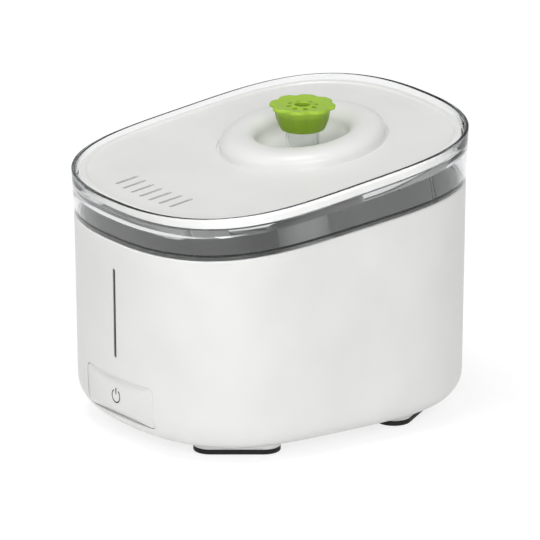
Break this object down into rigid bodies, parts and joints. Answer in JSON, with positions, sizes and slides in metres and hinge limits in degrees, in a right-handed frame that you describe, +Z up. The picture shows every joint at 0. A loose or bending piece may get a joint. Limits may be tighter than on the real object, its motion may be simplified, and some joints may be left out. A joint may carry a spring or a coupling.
{
  "type": "pet water fountain",
  "caption": "Pet water fountain: white base, clear lift-out tank, pump, flow column, filter tray under a sloping lid, and a clear flow tube with a flower cap.",
  "frame": {"origin": "on the floor, under the middle of the base", "axes": "+Z up, -Y towards the end with the level window and the press panel, +X to the right of a person who looks towards +Y"},
  "size_m": [0.182, 0.2196, 0.1801],
  "materials": {
    "white_shell": "satin",
    "black_rubber": "matte",
    "smoked_window": "gloss",
    "gray_plastic": "matte",
    "board_green": "satin",
    "screw_steel": "brushed",
    "copper_winding": "satin",
    "ferrite": "matte",
    "black_plastic": "satin",
    "clear_tank": "clear",
    "smoked_tank": "clear",
    "float_white": "satin",
    "core_steel": "satin",
    "light_gray": "satin",
    "tray_gray": "satin",
    "pad_black": "fibrous",
    "clear_tube": "clear",
    "scale_ink": "printed",
    "cap_green": "satin"
  },
  "bodies": {
    "base": {"base_shell": "white_shell", "base_plate": "white_shell", "foot_bosses": "white_shell", "rubber_feet": "black_rubber", "level_window": "smoked_window", "bay_cover": "white_shell", "arm_cover": "white_shell", "cover_screws": "screw_steel", "circuit_board": "board_green", "push_switch": "gray_plastic", "power_inlet": "black_plastic", "supply_coil": "copper_winding", "coil_core": "ferrite", "float_sensor": "black_plastic"},
    "button": {"button_panel": "white_shell", "switch_plunger": "gray_plastic"},
    "tank": {"tank": "clear_tank", "tank_collar": "clear_tank", "tank_recess": "smoked_tank", "pump_fence": "clear_tank", "guide_post": "clear_tank", "tank_feet": "clear_tank", "level_strip": "black_plastic", "post_cap": "float_white"},
    "float": {"float_ring": "float_white", "float_magnet": "ferrite"},
    "pump": {"pump_housing": "black_plastic", "pump_back_cover": "black_plastic", "pump_end_cover": "black_plastic", "chamber_plate": "gray_plastic", "suction_cups": "black_rubber", "impeller_shaft": "core_steel", "stator_core": "core_steel", "stator_coil": "copper_winding", "pickup_coil": "copper_winding"},
    "flow_slider": {"flow_slider": "gray_plastic"},
    "impeller": {"impeller": "float_white", "rotor_magnet": "ferrite"},
    "column": {"column_shell": "light_gray", "column_foot": "light_gray", "column_seal": "black_rubber", "column_foot_ring": "black_rubber", "connector": "light_gray", "connector_ring": "black_rubber"},
    "lid": {"lid": "white_shell", "lid_bowl": "white_shell", "tray_guides": "white_shell"},
    "filter_tray": {"filter_tray": "tray_gray"},
    "filter_pad": {"pad_frame": "black_plastic", "pad_media": "pad_black"},
    "flow_tube": {"flow_tube": "clear_tube", "tube_scale": "scale_ink"},
    "flower_cap": {"flower_cap": "cap_green"}
  },
  "joints": [
    {"name": "button_press", "type": "slide", "parent": "base", "child": "button", "axis": [0, 1, 0], "range_m": [0, 0.0008], "stiffness_N_per_m": 1500, "springref_m": -0.0002},
    {"name": "tank_lift", "type": "slide", "parent": "base", "child": "tank", "axis": [0, 0, 1], "range_m": [0, 0.2215]},
    {"name": "float_rise", "type": "slide", "parent": "tank", "child": "float", "axis": [0, 0, 1], "range_m": [0, 0.0224]},
    {"name": "pump_lift", "type": "slide", "parent": "tank", "child": "pump", "axis": [0, 0, 1], "range_m": [0, 0.115]},
    {"name": "flow_adjust", "type": "slide", "parent": "pump", "child": "flow_slider", "axis": [0, 1, 0], "range_m": [0, 0.008]},
    {"name": "impeller_spin", "type": "hinge", "parent": "pump", "child": "impeller", "pos_m": [0, 0.0227, 0.029], "axis": [1, 0, 0], "continuous": true},
    {"name": "column_lift", "type": "slide", "parent": "pump", "child": "column", "axis": [0, 0, 1], "range_m": [0, 0.0272]},
    {"name": "lid_lift", "type": "slide", "parent": "column", "child": "lid", "axis": [0, 0, 1], "range_m": [0, 0.0424]},
    {"name": "tray_drop", "type": "slide", "parent": "lid", "child": "filter_tray", "axis": [0, 0, -1], "range_m": [0, 0.055]},
    {"name": "pad_rise", "type": "slide", "parent": "filter_tray", "child": "filter_pad", "axis": [0, 0, 1], "range_m": [0, 0.028]},
    {"name": "tube_lift", "type": "slide", "parent": "lid", "child": "flow_tube", "axis": [0, 0, 1], "range_m": [0, 0.0995]},
    {"name": "cap_lift", "type": "slide", "parent": "flow_tube", "child": "flower_cap", "axis": [0, 0, 1], "range_m": [0, 0.0306]}
  ],
  "couplings": [
    {"joint": "pad_rise", "follows": "tray_drop", "ratio": 0.5}
  ]
}
